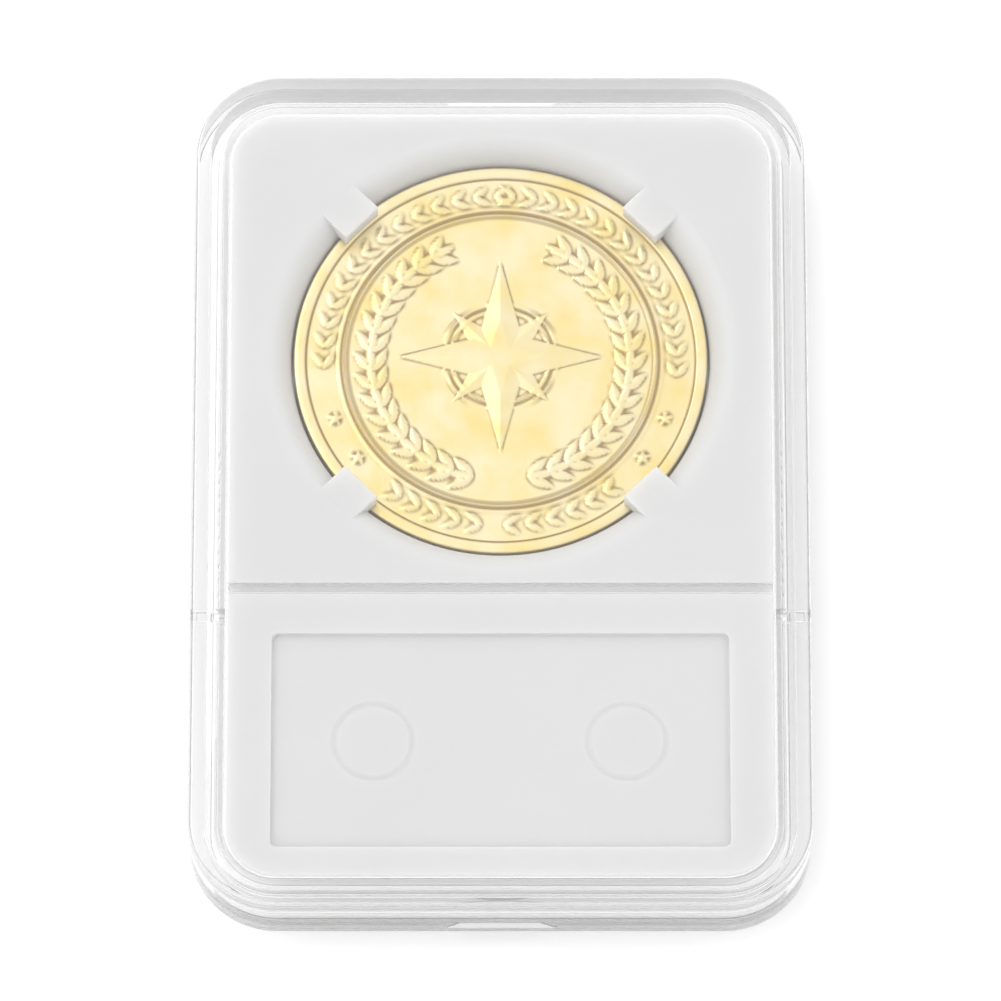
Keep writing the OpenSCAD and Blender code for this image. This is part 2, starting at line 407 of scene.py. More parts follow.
def row_tree():
    """Copies of one piece in a straight row."""
    tree, identifiers, given = copies_tree("row_of_copies", {
        "Source": "NodeSocketObject", "Count": "NodeSocketInt", "Step": "NodeSocketVector",
        "Material": "NodeSocketMaterial"})
    source = add_node(tree, "GeometryNodeObjectInfo", {"Object": given["Source"], "As Instance": True})
    line = add_node(tree, "GeometryNodeMeshLine", {"Count": given["Count"], "Offset": given["Step"]})
    placed = add_node(tree, "GeometryNodeInstanceOnPoints",
                      {"Points": line.outputs[0], "Instance": source.outputs["Geometry"]})
    close_tree(tree, placed.outputs[0], given["Material"])
    return tree, identifiers


def ring_tree():
    """Copies of one piece turned about an upright axis."""
    tree, identifiers, given = copies_tree("ring_of_copies", {
        "Source": "NodeSocketObject", "Count": "NodeSocketInt", "Start": "NodeSocketFloat",
        "Centre": "NodeSocketVector", "Material": "NodeSocketMaterial"})
    source = add_node(tree, "GeometryNodeObjectInfo", {"Object": given["Source"], "As Instance": True})
    points = add_node(tree, "GeometryNodePoints", {"Count": given["Count"], "Position": given["Centre"]})
    index = add_node(tree, "GeometryNodeInputIndex")
    share = add_node(tree, "ShaderNodeMath", {0: index.outputs[0], 1: given["Count"]}, operation="DIVIDE")
    turn = add_node(tree, "ShaderNodeMath", {0: share.outputs[0], 1: 2 * math.pi, 2: given["Start"]},
                    operation="MULTIPLY_ADD")
    about_z = add_node(tree, "ShaderNodeCombineXYZ", {"Z": turn.outputs[0]})
    placed = add_node(tree, "GeometryNodeInstanceOnPoints",
                      {"Points": points.outputs[0], "Instance": source.outputs["Geometry"],
                       "Rotation": about_z.outputs[0]})
    close_tree(tree, placed.outputs[0], given["Material"])
    return tree, identifiers


def repeated(name, tree_and_identifiers, source, values):
    """A piece made of copies of a source piece, which is then removed."""
    tree, identifiers = tree_and_identifiers
    piece = new_piece(name, bpy.data.meshes.new(name))
    copies = piece.modifiers.new("copies", "NODES")
    copies.node_group = tree
    for label, value in dict(values, Source=source).items():
        copies[identifiers[label]] = value
    bake_modifiers(piece)
    bpy.data.objects.remove(source)
    return piece


# ---------------------------------------------------------------- materials


def object_noise(tree, lump, detail=3.0, roughness=0.5):
    """Noise in the piece's own coordinates, with lumps of a real size."""
    place = add_node(tree, "ShaderNodeTexCoord")
    return add_node(tree, "ShaderNodeTexNoise", {
        "Vector": place.outputs["Object"], "Scale": 1 / lump, "Detail": detail, "Roughness": roughness})


def ranged(tree, value, low, high, start=0.0, end=1.0):
    """A value mapped from one range to another."""
    return add_node(tree, "ShaderNodeMapRange", {"Value": value, "From Min": start, "From Max": end,
                                                 "To Min": low, "To Max": high}).outputs["Result"]


def moulded_polystyrene(finish):
    """Clear polystyrene from a polished mould: glassy, with faint flow marks in its gloss.

    Scattered, mirrored and shadow rays pass straight through, so the liner inside isn't shaded twice
    and no ray is caught in the walls.
    """
    material, tree = new_material("moulded_clear_polystyrene")
    flow = object_noise(tree, 11.1 * MM, detail=2.0)
    gloss = ranged(tree, flow.outputs["Fac"], 0.0, 0.03, 0.35, 0.75)
    shader = add_node(tree, "ShaderNodeBsdfPrincipled", {
        "Base Color": linear(finish.clear), "Roughness": gloss, "IOR": 1.59, "Transmission Weight": 1.0})
    passing = add_node(tree, "ShaderNodeBsdfTransparent", {"Color": (*[CLEAR_PASS] * 3, 1.0)})
    ray = add_node(tree, "ShaderNodeLightPath")
    for kind in ("Is Diffuse Ray", "Is Reflection Ray", "Is Shadow Ray"):
        shader = add_node(tree, "ShaderNodeMixShader", {0: ray.outputs[kind], 1: shader.outputs[0],
                                                        2: passing.outputs[0]})
    add_node(tree, "ShaderNodeOutputMaterial", {"Surface": shader.outputs[0]})
    return material


def moulded_elastomer(finish):
    """White thermoplastic elastomer, moulded against a spark-eroded tool: a fine even satin."""
    material, tree = new_material("moulded_white_elastomer")
    cloud = object_noise(tree, 16.7 * MM, detail=2.0)
    white = linear(finish.liner)
    shade = add_node(tree, "ShaderNodeMix", {0: ranged(tree, cloud.outputs["Fac"], 0.0, 1.0, 0.3, 0.7),
                                             6: [v * 0.975 for v in white[:3]] + [1.0], 7: white},
                     data_type="RGBA")
    grain = object_noise(tree, 0.25 * MM, detail=2.0)
    bump = add_node(tree, "ShaderNodeBump", {"Height": grain.outputs["Fac"], "Strength": 0.12,
                                             "Distance": 0.02 * MM})
    shader = add_node(tree, "ShaderNodeBsdfPrincipled", {
        "Base Color": shade.outputs[2], "Roughness": ranged(tree, grain.outputs["Fac"], 0.5, 0.62),
        "IOR": 1.5, "Subsurface Weight": 0.9, "Subsurface Radius": (1.0, 1.0, 1.0),
        "Subsurface Scale": 3 * MM, "Normal": bump.outputs[0]})
    add_node(tree, "ShaderNodeOutputMaterial", {"Surface": shader.outputs[0]})
    return material


def struck_gold(finish):
    """Gold plate on a struck brass blank: satin fields, brighter high points, brown in the hollows."""
    material, tree = new_material("struck_gold_plate")
    hollow = add_node(tree, "ShaderNodeAttribute", attribute_name="hollow")
    cloud = object_noise(tree, 4.55 * MM, detail=4.0)
    base = add_node(tree, "ShaderNodeMix", {0: ranged(tree, cloud.outputs["Fac"], 0.0, 0.8, 0.38, 0.68),
                                            6: linear(finish.gold), 7: linear(finish.warm_gold)},
                    data_type="RGBA")
    # The hollow mask mixes the darker hollow colour in where the surface lies below what is round it,
    # drawing dark lines round the relief
    hollow_tinted = add_node(tree, "ShaderNodeMix", {0: hollow.outputs["Fac"], 6: base.outputs[2],
                                            7: linear(finish.hollow_tone)}, data_type="RGBA")
    grain = object_noise(tree, 0.6 * MM, detail=4.0, roughness=0.65)
    bump = add_node(tree, "ShaderNodeBump", {"Height": grain.outputs["Fac"], "Strength": 0.5,
                                             "Distance": 0.03 * MM})
    shader = add_node(tree, "ShaderNodeBsdfPrincipled", {
        "Base Color": hollow_tinted.outputs[2], "Metallic": 1.0,
        "Roughness": ranged(tree, grain.outputs["Fac"], 0.26, 0.38), "Normal": bump.outputs[0]})
    add_node(tree, "ShaderNodeOutputMaterial", {"Surface": shader.outputs[0]})
    return material


def matt_paper(finish):
    """The floor: matt white paper with a faint mottle."""
    material, tree = new_material("matt_white_paper")
    cloud = object_noise(tree, 71.4 * MM, detail=3.0)
    white = linear(finish.floor)
    shade = add_node(tree, "ShaderNodeMix", {0: cloud.outputs["Fac"], 6: white,
                                             7: [v * 0.985 for v in white[:3]] + [1.0]}, data_type="RGBA")
    shader = add_node(tree, "ShaderNodeBsdfPrincipled", {"Base Color": shade.outputs[2], "Roughness": 0.8})
    add_node(tree, "ShaderNodeOutputMaterial", {"Surface": shader.outputs[0]})
    return material


def shared_material(name, make, finish):
    """A material that several pieces share, made once."""
    return bpy.data.materials.get(name) or make(finish)


# ---------------------------------------------------------------- shells


def shell_heights(shell):
    """The heights that both shells are built from."""
    low, high = CAD_BOX
    window_top = high.z - shell.rim_depth
    return {
        "base": low.z,
        "underside": low.z + shell.foot_height,
        "floor": low.z + shell.foot_height + shell.pane,
        "seam": REAR_BOX[1].z - shell.tongue,
        "tongue": REAR_BOX[1].z,
        "window_under": window_top - shell.pane,
        "window": window_top,
        "top": high.z,
    }


def on_both_sides(name, make):
    """One tool on the +X side and its mirror image on the -X side."""
    return [make(f"{name}_{side}", sign) for side, sign in (("right", 1), ("left", -1))]


def rib_rows(shell, joint, heights):
    """The crush ribs: a row of round-topped bars on each long side of the tongue."""
    def row(name, sign):
        top = heights["tongue"] - 0.2 * MM
        x = sign * (CAD_BOX[1].x - shell.skirt - shell.lap_gap + joint.rib_reach - joint.rib_radius)
        centre = (x, -joint.key_place + 1.5 * joint.rib_pitch)
        radius = joint.rib_radius
        levels = [(radius, heights["seam"] - 0.3 * MM), (radius, top - 0.25 * MM),
                  (radius * 0.87, top - 0.1 * MM), (radius * 0.5, top)]
        bar = turned_solid("rib_bar", levels, centre, RIB_STEPS)
        return repeated(name, row_tree(), bar, {"Count": joint.ribs, "Step": (0, joint.rib_pitch, 0)})
    return on_both_sides("crush_ribs", row)


def key_slots(shell, joint, heights):
    """The slots through the tongue that take the locating keys."""
    def slot(name, sign):
        half = joint.key_width / 2 + joint.key_gap
        outer = sign * (CAD_BOX[1].x - joint.key_margin)
        inner = sign * (CAD_BOX[1].x - shell.wall - PAST)
        return block(name, (min(outer, inner), -joint.key_place - half, heights["seam"] - joint.key_depth),
                     (max(outer, inner), -joint.key_place + half, heights["tongue"] + PAST))
    return on_both_sides("key_slot", slot)


def locating_keys(shell, joint, heights):
    """The keys inside the front shell's skirt."""
    def key(name, sign):
        outer = sign * (CAD_BOX[1].x - joint.key_margin - joint.key_gap)
        inner = sign * (CAD_BOX[1].x - shell.wall)
        return block(name, (min(outer, inner), -joint.key_place - joint.key_width / 2, FRONT_BOX[0].z),
                     (max(outer, inner), -joint.key_place + joint.key_width / 2, heights["tongue"] + PAST),
                     rounding=0.08 * MM)
    return on_both_sides("locating_key", key)


def thumbnail_notches(joint, heights):
    """The scoops below the seam at both ends: the part of a round cutter that reaches the wall."""
    radius = (joint.notch_width ** 2 / 4 + joint.notch_depth ** 2) / (2 * joint.notch_depth)
    notches = []
    for name, sign in (("coin_end", 1), ("label_end", -1)):
        centre = (0, sign * (CAD_BOX[1].y - joint.notch_depth + radius))
        low = heights["seam"] - joint.notch_height
        levels = [(radius - 0.25 * MM, low), (radius - 0.12 * MM, low + 0.04 * MM),
                  (radius, low + 0.25 * MM), (radius, heights["seam"] + 0.2 * MM)]
        notches.append(turned_solid(f"notch_{name}", levels, centre, NOTCH_STEPS))
    return notches


def build_rear_shell(settings):
    """Rear shell: foot ring, floor, shoulder, tongue, crush ribs, key slots and thumbnail notches."""
    shell, joint = settings.shell, settings.joint
    z = shell_heights(shell)
    slope = shell.rim_slope * shell.foot_height / shell.rim_depth
    foot_inner = shell.foot_inset + shell.foot_width
    corners = [
        (foot_inner + PANE_EDGE, z["underside"], 0),
        (foot_inner, z["underside"], 0.2 * MM),
        (foot_inner, z["base"], 0.12 * MM),
        (shell.foot_inset + slope, z["base"], 0.12 * MM),
        (shell.foot_inset, z["underside"], 0.15 * MM),
        (0, z["underside"], shell.edge),
        (0, z["seam"], 0.12 * MM),
        (shell.skirt + shell.lap_gap, z["seam"], 0.1 * MM),
        (shell.skirt + shell.lap_gap, z["tongue"], 0.2 * MM),
        (shell.wall, z["tongue"], 0.2 * MM),
        (shell.wall, z["floor"], 0.3 * MM),
        (shell.wall + PANE_EDGE, z["floor"], 0),
    ]
    piece = shell_solid("rear_shell_moulding", corners, shell.corner)
    combine(piece, rib_rows(shell, joint, z), "UNION")
    combine(piece, key_slots(shell, joint, z), "DIFFERENCE")
    combine(piece, thumbnail_notches(joint, z), "DIFFERENCE")
    return smooth_faces(piece)


def build_front_shell(settings):
    """Front shell: window, stacking rim, skirt, locating keys and the divider rib."""
    shell, joint = settings.shell, settings.joint
    z = shell_heights(shell)
    rim_inner = shell.rim_width + shell.rim_slope
    pocket = z["tongue"] + 0.1 * MM
    corners = [
        (rim_inner + PANE_EDGE, z["window"], 0),
        (rim_inner, z["window"], 0.3 * MM),
        (shell.rim_width, z["top"], 0.25 * MM),
        (0, z["top"], shell.edge),
        (0, z["seam"] + HAIR, 0.12 * MM),
        (shell.skirt, z["seam"] + HAIR, 0.12 * MM),
        (shell.skirt, pocket, 0.15 * MM),
        (shell.wall, pocket, 0.12 * MM),
        (shell.wall, z["window_under"], 0.3 * MM),
        (shell.wall + PANE_EDGE, z["window_under"], 0),
    ]
    piece = shell_solid("front_shell_moulding", corners, shell.corner)
    combine(piece, locating_keys(shell, joint, z), "UNION")
    combine(piece, [divider_rib(joint, z)], "UNION")
    return smooth_faces(piece)


def divider_rib(joint, z):
    """The round-ended rib under the window."""
    half_width = joint.divider_width / 2
    half_length = (LINER_BOX[1].x - LINER_BOX[0].x) / 2 - joint.divider_gap
    low = z["window_under"] - joint.divider_depth
    levels = [(0.2 * MM, low), (0.08 * MM, low + 0.04 * MM), (0, low + 0.2 * MM),
              (0, z["window_under"] + 0.3 * MM)]
    rings = []
    for inset, height in levels:
        radius = half_width - inset - 0.005 * MM
        outline = rounded_rectangle(half_length - inset, half_width - inset, radius, SMALL_CORNER_STEPS)
        rings.append([(x, y - joint.divider_place, height) for x, y in outline])
    return solid_of_rings("divider_rib", rings)


# ---------------------------------------------------------------- liner


def coin_centre():
    """The middle of the coin in plan."""
    low, high = COIN_BOX
    return ((low.x + high.x) / 2, (low.y + high.y) / 2)


def seat_cutter(liner):
    """The coin seat: a straight bore whose front edge rolls outward in a quarter ellipse."""
    radius = (COIN_BOX[1].x - COIN_BOX[0].x) / 2 + liner.seat_gap
    bottom, top = LINER_BOX[0].z, LINER_BOX[1].z
    levels = [(radius + 0.3 * MM, bottom - PAST), (radius + 0.3 * MM, bottom), (radius, bottom + 0.3 * MM)]
    steps = 14
    for i in range(steps + 1):
        angle = math.pi / 2 * i / steps
        levels.append((radius + liner.flare_width * (1 - math.cos(angle)),
                       top - liner.flare_depth * (1 - math.sin(angle)) - (0.004 * MM if i == steps else 0)))
    levels.append((radius + liner.flare_width + 0.1 * MM, top + 0.001 * MM))
    levels.append((radius + liner.flare_width + 0.1 * MM, top + PAST))
    return turned_solid("seat_cutter", levels, coin_centre(), ROUND_STEPS)


def prong_ring(liner):
    """The prongs: one full-height block with a front lip over the coin, turned round the seat."""
    coin_radius = (COIN_BOX[1].x - COIN_BOX[0].x) / 2
    bottom, top = LINER_BOX[0].z + 0.05 * MM, LINER_BOX[1].z - HAIR
    lip = COIN_BOX[1].z + liner.prong_gap
    tip, grip = coin_radius - liner.prong_reach, coin_radius + liner.prong_gap
    root = coin_radius + liner.seat_gap + liner.flare_width + 0.6 * MM
    side = [(grip, bottom), (root, bottom), (root, top), (tip, top), (tip, lip), (grip, lip)]
    half = liner.prong_width / 2
    form = bmesh.new()
    near = [form.verts.new((x, -half, z)) for x, z in side]
    far = [form.verts.new((x, half, z)) for x, z in side]
    form.faces.new(near)
    form.faces.new(far)
    wrap(form, near, far)
    bmesh.ops.recalc_face_normals(form, faces=form.faces)
    bmesh.ops.bevel(form, geom=form.edges[:], offset=0.18 * MM, segments=4, profile=0.5, affect="EDGES")
    prong = new_piece("prong", mesh_from(form, "prong"))
    x, y = coin_centre()
    return repeated("prong_ring", ring_tree(), prong,
                    {"Count": liner.prongs, "Start": math.pi / 4, "Centre": (x, y, 0)})


def label_cutter(liner):
    """The label recess: rounded corners, a filleted floor and a softened top edge."""
    top = LINER_BOX[1].z
    floor = top - liner.label_depth
    centre = LINER_BOX[0].y + liner.label_margin + liner.label_height / 2
    rings = []
    for inset, height in filleted([(3 * MM, floor, 0), (0, floor, 0.44 * MM), (0, top, 0.05 * MM),
                                   (-0.6 * MM, top + 0.002 * MM, 0)]) + [(-0.6 * MM, top + PAST)]:
        outline = rounded_rectangle(liner.label_width / 2 - inset, liner.label_height / 2 - inset,
                                    max(0.7 * MM - inset, 0.3 * MM), SMALL_CORNER_STEPS)
        rings.append([(x, y + centre, height) for x, y in outline])
    return solid_of_rings("label_cutter", rings), centre, floor


def mark_cutter(name, liner, centre, floor):
    """The shallow round groove of one ejector mark."""
    outer, width = liner.mark_diameter / 2, 0.8 * MM
    form = bmesh.new()
    section = [(outer, 0.3 * MM), (outer, 0)]
    steps = 9
    for i in range(1, steps):
        share = i / steps
        section.append((outer - width * share, -liner.mark_depth * math.sin(math.pi * share) ** 1.5))
    section += [(outer - width, 0), (outer - width, 0.3 * MM)]
    loops = [[form.verts.new((x, y, floor + z)) for x, y in circle(r, centre, GROOVE_STEPS)]
             for r, z in section]
    for here, there in zip(loops, loops[1:] + loops[:1]):
        wrap(form, here, there)
    bmesh.ops.recalc_face_normals(form, faces=form.faces)
    return new_piece(name, mesh_from(form, name))


def build_liner(settings):
    """Liner: a plate with the coin seat, the prongs, the divider groove and the label recess."""
    shell, liner, joint = settings.shell, settings.liner, settings.joint
    inset = CAD_BOX[1].x - LINER_BOX[1].x
    bottom, top = LINER_BOX[0].z + HAIR, LINER_BOX[1].z
    pane_edge = 0.8 * MM
    corners = [(inset + pane_edge, bottom, 0), (inset, bottom, 0.25 * MM), (inset, top, 0.3 * MM),
               (inset + pane_edge, top, 0)]
    piece = shell_solid("liner_moulding", corners, shell.corner)
    combine(piece, [seat_cutter(liner)], "DIFFERENCE")
    combine(piece, [prong_ring(liner)], "UNION")
    half = joint.divider_width / 2 + joint.divider_gap
    groove_floor = shell_heights(shell)["window_under"] - joint.divider_depth - joint.divider_gap
    groove = block("divider_groove", (LINER_BOX[0].x - PAST, -joint.divider_place - half, groove_floor),
                   (LINER_BOX[1].x + PAST, -joint.divider_place + half, top + PAST))
    recess, centre, floor = label_cutter(liner)

    def mark(name, sign):
        return mark_cutter(name, liner, (sign * liner.mark_spacing / 2, centre), floor)

    marks = on_both_sides("mark", mark)
    combine(piece, [groove, recess, *marks], "DIFFERENCE")
    return smooth_faces(piece)


# ---------------------------------------------------------------- coin


def ramp(value, start, end):
    """0 before start, 1 after end, and a smooth rise between."""
    share = np.clip((value - start) / (end - start), 0, 1)
    return share * share * (3 - 2 * share)


def ridge(distance, half_width, soft):
    """1 within half_width of a line, falling smoothly to 0 over soft."""
    return 1 - ramp(np.abs(distance), half_width - soft / 2, half_width + soft / 2)


def leaf(x, y, root_x, root_y, angle, size, width):
    """The height of one laurel leaf with its midrib, from 0 to 1."""
    along = (x - root_x) * math.cos(angle) + (y - root_y) * math.sin(angle)
    across = -(x - root_x) * math.sin(angle) + (y - root_y) * math.cos(angle)
    share = np.clip(along / size, 0, 1)
    edge = width * np.sin(np.pi * share ** 0.8) ** 0.9
    inside = (along > 0) & (along < size)
    crown = ramp(edge - np.abs(across), 0, 0.28) * (0.72 + 0.28 * ridge(across, 0.08, 0.16))
    return np.where(inside, crown, 0)


def star(x, y, centre_x, centre_y, radius, turn, points=5, waist=0.4, facets=1.0):
    """The height of a star with sharp ridges, from 0 to 1."""
    dx, dy = x - centre_x, y - centre_y
    distance = np.hypot(dx, dy)
    step = math.pi / points
    angle = np.abs((np.arctan2(dy, dx) - turn + step) % (2 * step) - step)
    along, across = distance * np.cos(angle), distance * np.sin(angle)
    inner_x, inner_y = waist * radius * math.cos(step), waist * radius * math.sin(step)
    edge = np.hypot(radius - inner_x, inner_y)
    depth = ((radius - along) * inner_y - across * (radius - inner_x)) / edge
    slope = np.clip(depth / (waist * radius * 0.7), 0, 1)
    return ramp(depth, 0, 0.12) * ((1 - facets) + facets * (0.35 + 0.65 * slope))


def obverse(x, y, coin):
    """The front relief in millimetres: border leaves, four small stars, a wreath and a compass star."""
    radius = np.hypot(x, y)
    relief = 0.16 * ridge(radius - coin.ring / MM, 0.12, 0.1)
    relief = np.maximum(relief, 0.12 * ridge(radius - coin.ring / MM - 0.5, 0.07, 0.1))
    band = 17.3       # radius of the border's middle
    upper_leaves, lower_leaves = range(-6, 190, 7), range(236, 308, 7)
    for degrees in (*upper_leaves, *lower_leaves):
        middle = math.radians(degrees)
        heading = math.radians(degrees + (90 if degrees < 90 or degrees > 270 else -90))
        for lean in (-0.55, 0.55):
            relief = np.maximum(relief, 0.15 * leaf(x, y, band * math.cos(middle), band * math.sin(middle),
                                                    heading + lean, 2.1, 0.45))
    for degrees in (201, 216.5, 323.5, 339):
        spot = math.radians(degrees)
        relief = np.maximum(relief, 0.17 * star(x, y, band * math.cos(spot), band * math.sin(spot), 1.05,
                                                math.pi / 2, facets=0.5))
    wreath, leaf_length, leaf_width = coin.wreath / MM, 3.0, 0.62
    for side in (1, -1):
        for degrees in range(-78, 62, 9):
            middle = math.radians(degrees)
            root_x, root_y = side * wreath * math.cos(middle), wreath * math.sin(middle)
            for lean in (-0.6, 0.0, 0.6):
                heading = math.radians(degrees + 90) + lean
                heading = heading if side > 0 else math.pi - heading
                height = 0.19 - 0.03 * abs(lean)
                relief = np.maximum(relief, height * leaf(x, y, root_x, root_y, heading, leaf_length,
                                                          leaf_width))
    rise = 0.3        # how far the compass star sits above the medal's middle
    long_star = star(x, y, 0, rise, coin.star / MM, math.pi / 2, points=4, waist=0.3)
    short_star = star(x, y, 0, rise, coin.star / MM * 0.66, math.pi / 4, points=4, waist=0.34)
    relief = np.maximum(relief, 0.3 * long_star)
    relief = np.maximum(relief, 0.22 * short_star)
    hub = np.hypot(x, y - rise)
    relief = np.maximum(relief, 0.14 * ridge(hub - 4.9, 0.14, 0.12))
    return np.maximum(relief, 0.14 * ridge(hub - 5.6, 0.07, 0.1))


def reverse(x, y, coin):
    """The back relief in millimetres: two rings, a star and a plain wreath."""
    radius = np.hypot(x, y)
    relief = 0.14 * ridge(radius - coin.ring / MM, 0.16, 0.2)
    relief = np.maximum(relief, 0.22 * star(x, y, 0, 0, 8.5, math.pi / 2, waist=0.45))
    leaves, wreath = 36, 11.6
    for i in range(leaves):
        middle = 2 * math.pi * i / leaves
        heading = middle + math.pi / 2 + (0.45 if i % 2 else -0.45)
        relief = np.maximum(relief, 0.16 * leaf(x, y, wreath * math.cos(middle), wreath * math.sin(middle),
                                                heading, 2.8, 0.6))
    return relief


def face_grid(radius, inner_edge, turns, step):
    """Radii and angles of a round grid: even rings, with extra ones where the rim rises."""
    rings = list(np.arange(0.5 * step, inner_edge - 0.35, step))
    rings += [inner_edge - 0.3, inner_edge - 0.18, inner_edge - 0.08, inner_edge, inner_edge + 0.08,
              inner_edge + 0.16, radius - 0.5, radius - 0.2, radius - 0.12, radius - 0.05, radius]
    return np.array(rings), 2 * np.pi * np.arange(turns) / turns


def hollow_share(heights, rings):
    """How deep each point lies below what is round it: 0 up to 0.012 mm, and 0.85 from 0.042 mm."""
    wide = sum(np.roll(heights, k, axis=1) for k in range(-3, 4)) / 7
    padded = np.pad(wide, ((2, 2), (0, 0)), mode="edge")
    around = sum(padded[k:k + len(rings)] for k in range(5)) / 5
    return 0.85 * np.clip((around - heights - 0.012) / 0.03, 0, 1)


def coin_face(coin, radius, relief, turns, step, rim_edge):
    """One face's points in millimetres, as (x, y, height below the rim), with its hollows."""
    rings, angles = face_grid(radius, rim_edge, turns, step)
    x = rings[:, None] * np.cos(angles)
    y = rings[:, None] * np.sin(angles)
    field = -coin.field / MM
    rise = ramp(np.hypot(x, y), rim_edge - 0.15, rim_edge + 0.1)
    heights = np.minimum(field + relief(x, y, coin), 0.0)
    heights = heights * (1 - rise)
    edge = np.clip((np.hypot(x, y) - (radius - 0.2)) / 0.2, 0, 1)
    heights = heights - 0.12 * edge ** 2
    return x, y, heights, hollow_share(heights, rings)


def build_coin(settings):
    """Coin: both struck faces and the blank's edge as one closed mesh."""
    coin = settings.coin
    low, high = COIN_BOX
    radius = (high.x - low.x) / 2 / MM
    rim_edge = radius - coin.rim / MM
    centre_x, centre_y = coin_centre()
    verts, hollows, faces = [], [], []
    bands = []
    for relief, turns, step, level, sign in ((obverse, COIN_TURNS, 0.19, high.z, 1),
                                             (reverse, COIN_TURNS // 2, 0.4, low.z, -1)):
        x, y, heights, hollow = coin_face(coin, radius, relief, turns, step, rim_edge)
        start = len(verts)
        points = np.stack([sign * x * MM + centre_x, y * MM + centre_y, level + sign * heights * MM], axis=2)
        verts += [tuple(p) for p in points.reshape(-1, 3)]
        hollows += list(hollow.reshape(-1))
        verts.append((centre_x, centre_y, level + sign * float(heights[0].mean()) * MM))
        hollows.append(0.0)
        ring_count = len(x)
        for i in range(ring_count - 1):
            for j in range(turns):
                k = (j + 1) % turns
                a, b = start + i * turns, start + (i + 1) * turns
                faces.append((a + j, b + j, b + k, a + k))
        hub = start + ring_count * turns
        faces += [(hub, start + j, start + (j + 1) % turns) for j in range(turns)]
        bands.append([start + (ring_count - 1) * turns + j for j in range(turns)])
    front, back = bands
    half = len(back)
    for j in range(half):
        k = (j + 1) % half
        mirrored = [back[(half // 2 - m) % half] for m in (j, k)]
        faces.append((front[2 * j], front[2 * j + 1], front[(2 * j + 2) % len(front)],
                      mirrored[1], mirrored[0]))
    mesh = bpy.data.meshes.new("struck_coin")
    mesh.from_pydata(verts, [], faces)
    tint = mesh.attributes.new("hollow", "FLOAT", "POINT")
    tint.data.foreach_set("value", np.array(hollows, np.float32))
    form = bmesh.new()
    form.from_mesh(mesh)
    bmesh.ops.recalc_face_normals(form, faces=form.faces)
    form.to_mesh(mesh)
    form.free()
    mesh.polygons.foreach_set("use_smooth", [True] * len(mesh.polygons))
    mesh.set_sharp_from_angle(angle=math.radians(COIN_SHARP))
    return new_piece("struck_coin", mesh)


# ---------------------------------------------------------------- operators


class CAPSULE_OT_rear_shell(bpy.types.Operator):
    """Build the clear rear shell"""
    bl_idname = "coin_capsule.rear_shell"
    bl_label = "Rear Shell"

    def execute(self, context):
        settings = context.scene.coin_capsule
        clear = shared_material("moulded_clear_polystyrene", moulded_polystyrene, settings.finish)
        finish_piece(build_rear_shell(settings), clear, "rear_shell", "rear_shell")
        return {"FINISHED"}


class CAPSULE_OT_front_shell(bpy.types.Operator):
    """Build the clear front shell with its window and stacking rim"""
    bl_idname = "coin_capsule.front_shell"
    bl_label = "Front Shell"

    def execute(self, context):
        settings = context.scene.coin_capsule
        clear = shared_material("moulded_clear_polystyrene", moulded_polystyrene, settings.finish)
        finish_piece(build_front_shell(settings), clear, "front_shell", "front_shell")
        return {"FINISHED"}


class CAPSULE_OT_liner(bpy.types.Operator):
    """Build the white liner with its coin seat, prongs and label recess"""
    bl_idname = "coin_capsule.liner"
    bl_label = "Liner"

    def execute(self, context):
        settings = context.scene.coin_capsule
        white = moulded_elastomer(settings.finish)
        finish_piece(build_liner(settings), white, "liner", "liner")
        return {"FINISHED"}


class CAPSULE_OT_coin(bpy.types.Operator):
    """Build the struck gold medal with its relief"""
    bl_idname = "coin_capsule.coin"
    bl_label = "Coin"

    def execute(self, context):
        settings = context.scene.coin_capsule
        gold = struck_gold(settings.finish)
        finish_piece(build_coin(settings), gold, "coin", "coin")
        return {"FINISHED"}


def soft_light(name, place, size, power, target):
    """A large soft area light aimed at a point."""
    data = bpy.data.lights.new(name, "AREA")
    data.shape = "RECTANGLE"
    data.size, data.size_y = size
    data.energy = power
    light = bpy.data.objects.new(name, data)
    light.location = place
    light.rotation_euler = (Vector(target) - Vector(place)).to_track_quat("-Z", "Y").to_euler()
    light.visible_camera = False
    bpy.context.scene.collection.objects.link(light)


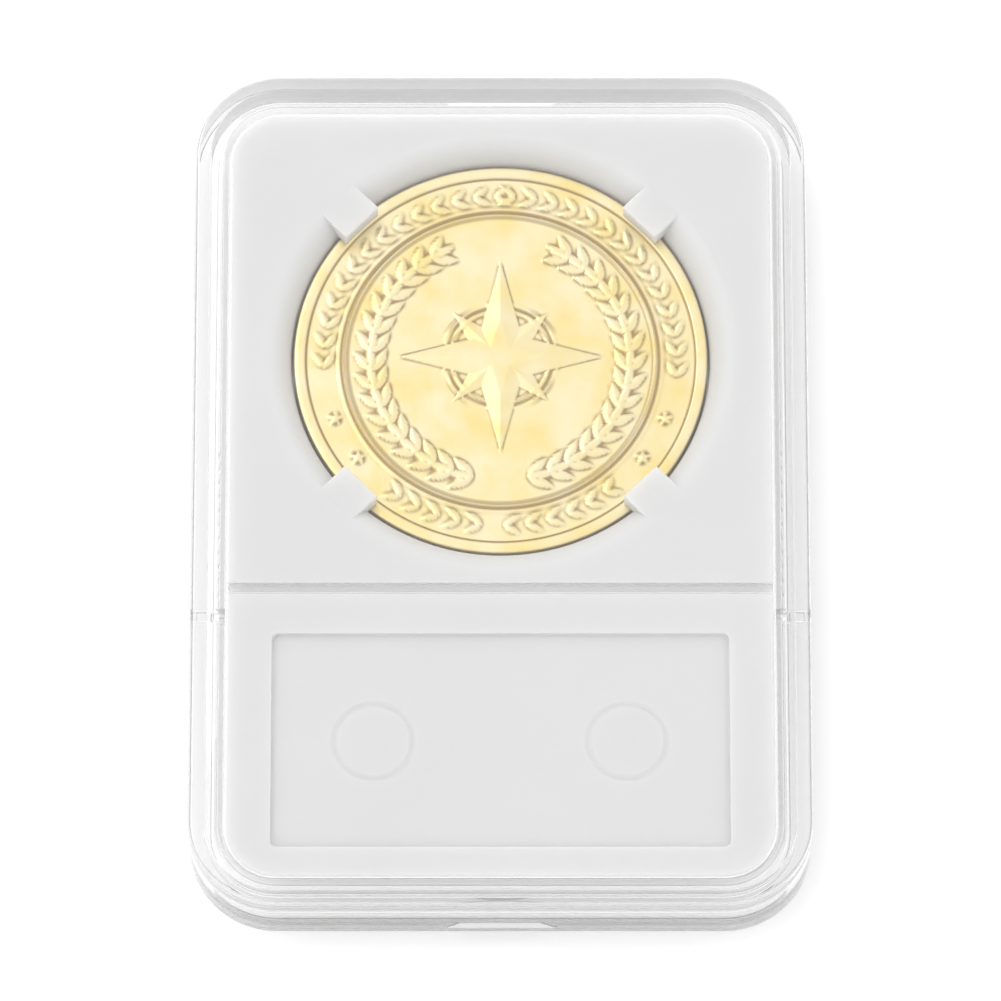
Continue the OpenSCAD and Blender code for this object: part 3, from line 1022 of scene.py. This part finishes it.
class CAPSULE_OT_stage(bpy.types.Operator):
    """Build the floor, the soft lights, the sky and the camera"""
    bl_idname = "coin_capsule.stage"
    bl_label = "Stage"

    def execute(self, context):
        finish = context.scene.coin_capsule.finish
        form = bmesh.new()
        bmesh.ops.create_grid(form, x_segments=8, y_segments=8, size=1.5)
        mesh = mesh_from(form, "floor")
        mesh.transform(((1, 0, 0, 0), (0, 1, 0, 0), (0, 0, 1, CAD_BOX[0].z - 0.02 * MM), (0, 0, 0, 1)))
        floor = new_piece("floor", mesh)
        floor.data.materials.append(matt_paper(finish))
        middle = (CAD_BOX[0] + CAD_BOX[1]) / 2
        soft_light("key_light", (-0.6, 0.35, 0.95), (0.7, 0.7), finish.key_power, middle)
        soft_light("left_light", (-0.9, -0.2, 0.5), (0.3, 0.6), finish.fill_power, middle)
        soft_light("right_light", (0.9, -0.2, 0.5), (0.3, 0.6), finish.fill_power, middle)
        self.build_sky(context.scene)
        self.build_camera(context.scene, middle)
        return {"FINISHED"}

    def build_sky(self, scene):
        """A white studio dome with a dimmer band at the horizon, which draws the edges of clear pieces."""
        world = bpy.data.worlds.new("studio_dome")
        world.use_nodes = True
        tree = world.node_tree
        tree.nodes.clear()
        place = add_node(tree, "ShaderNodeTexCoord")
        split = add_node(tree, "ShaderNodeSeparateXYZ", {"Vector": place.outputs["Generated"]})
        horizon = ranged(tree, split.outputs["Z"], 0.4, 1.05, 0.0, 0.2)
        upper = ranged(tree, split.outputs["Z"], 0.0, 0.25, 0.2, 0.6)
        glow = add_node(tree, "ShaderNodeMath", {0: horizon, 1: upper}, operation="ADD")
        sky = add_node(tree, "ShaderNodeBackground", {"Color": (1, 1, 1, 1), "Strength": glow.outputs[0]})
        add_node(tree, "ShaderNodeOutputWorld", {"Surface": sky.outputs[0]})
        scene.world = world

    def build_camera(self, scene, middle):
        """A long lens, high above the label end."""
        elevation, distance = math.radians(69.5), 0.95
        data = bpy.data.cameras.new("camera")
        data.lens = 350
        data.clip_start, data.clip_end = 0.01, 10
        camera = bpy.data.objects.new("camera", data)
        back = Vector((0, -math.cos(elevation), math.sin(elevation)))
        camera.location = middle + back * distance
        camera.rotation_euler = (-back).to_track_quat("-Z", "Y").to_euler()
        scene.collection.objects.link(camera)
        scene.camera = camera
        scene.view_settings.view_transform = "Standard"


class CAPSULE_PT_panel(bpy.types.Panel):
    """The capsule's pieces and settings in the sidebar"""
    bl_idname = "CAPSULE_PT_panel"
    bl_label = "Coin Capsule"
    bl_space_type = "VIEW_3D"
    bl_region_type = "UI"
    bl_category = "Coin Capsule"

    def draw(self, context):
        settings = context.scene.coin_capsule
        for operator in OPERATORS:
            self.layout.operator(operator.bl_idname)
        for group in (settings.shell, settings.joint, settings.liner, settings.coin, settings.finish):
            box = self.layout.box()
            for name in group.__annotations__:
                box.prop(group, name)


OPERATORS = (CAPSULE_OT_rear_shell, CAPSULE_OT_front_shell, CAPSULE_OT_liner, CAPSULE_OT_coin,
             CAPSULE_OT_stage)
CLASSES = (ShellSizes, JointSizes, LinerSizes, CoinSizes, Finishes, CapsuleSettings, *OPERATORS,
           CAPSULE_PT_panel)


def register():
    """Registers the classes and the capsule's settings."""
    for cls in CLASSES:
        bpy.utils.register_class(cls)
    bpy.types.Scene.coin_capsule = PointerProperty(type=CapsuleSettings)


def unregister():
    """Takes the settings and the classes away again."""
    del bpy.types.Scene.coin_capsule
    for cls in reversed(CLASSES):
        bpy.utils.unregister_class(cls)


def main():
    """Registers the add-on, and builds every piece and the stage."""
    register()
    bpy.ops.coin_capsule.rear_shell()
    bpy.ops.coin_capsule.front_shell()
    bpy.ops.coin_capsule.liner()
    bpy.ops.coin_capsule.coin()
    bpy.ops.coin_capsule.stage()


if __name__ == "__main__":
    main()
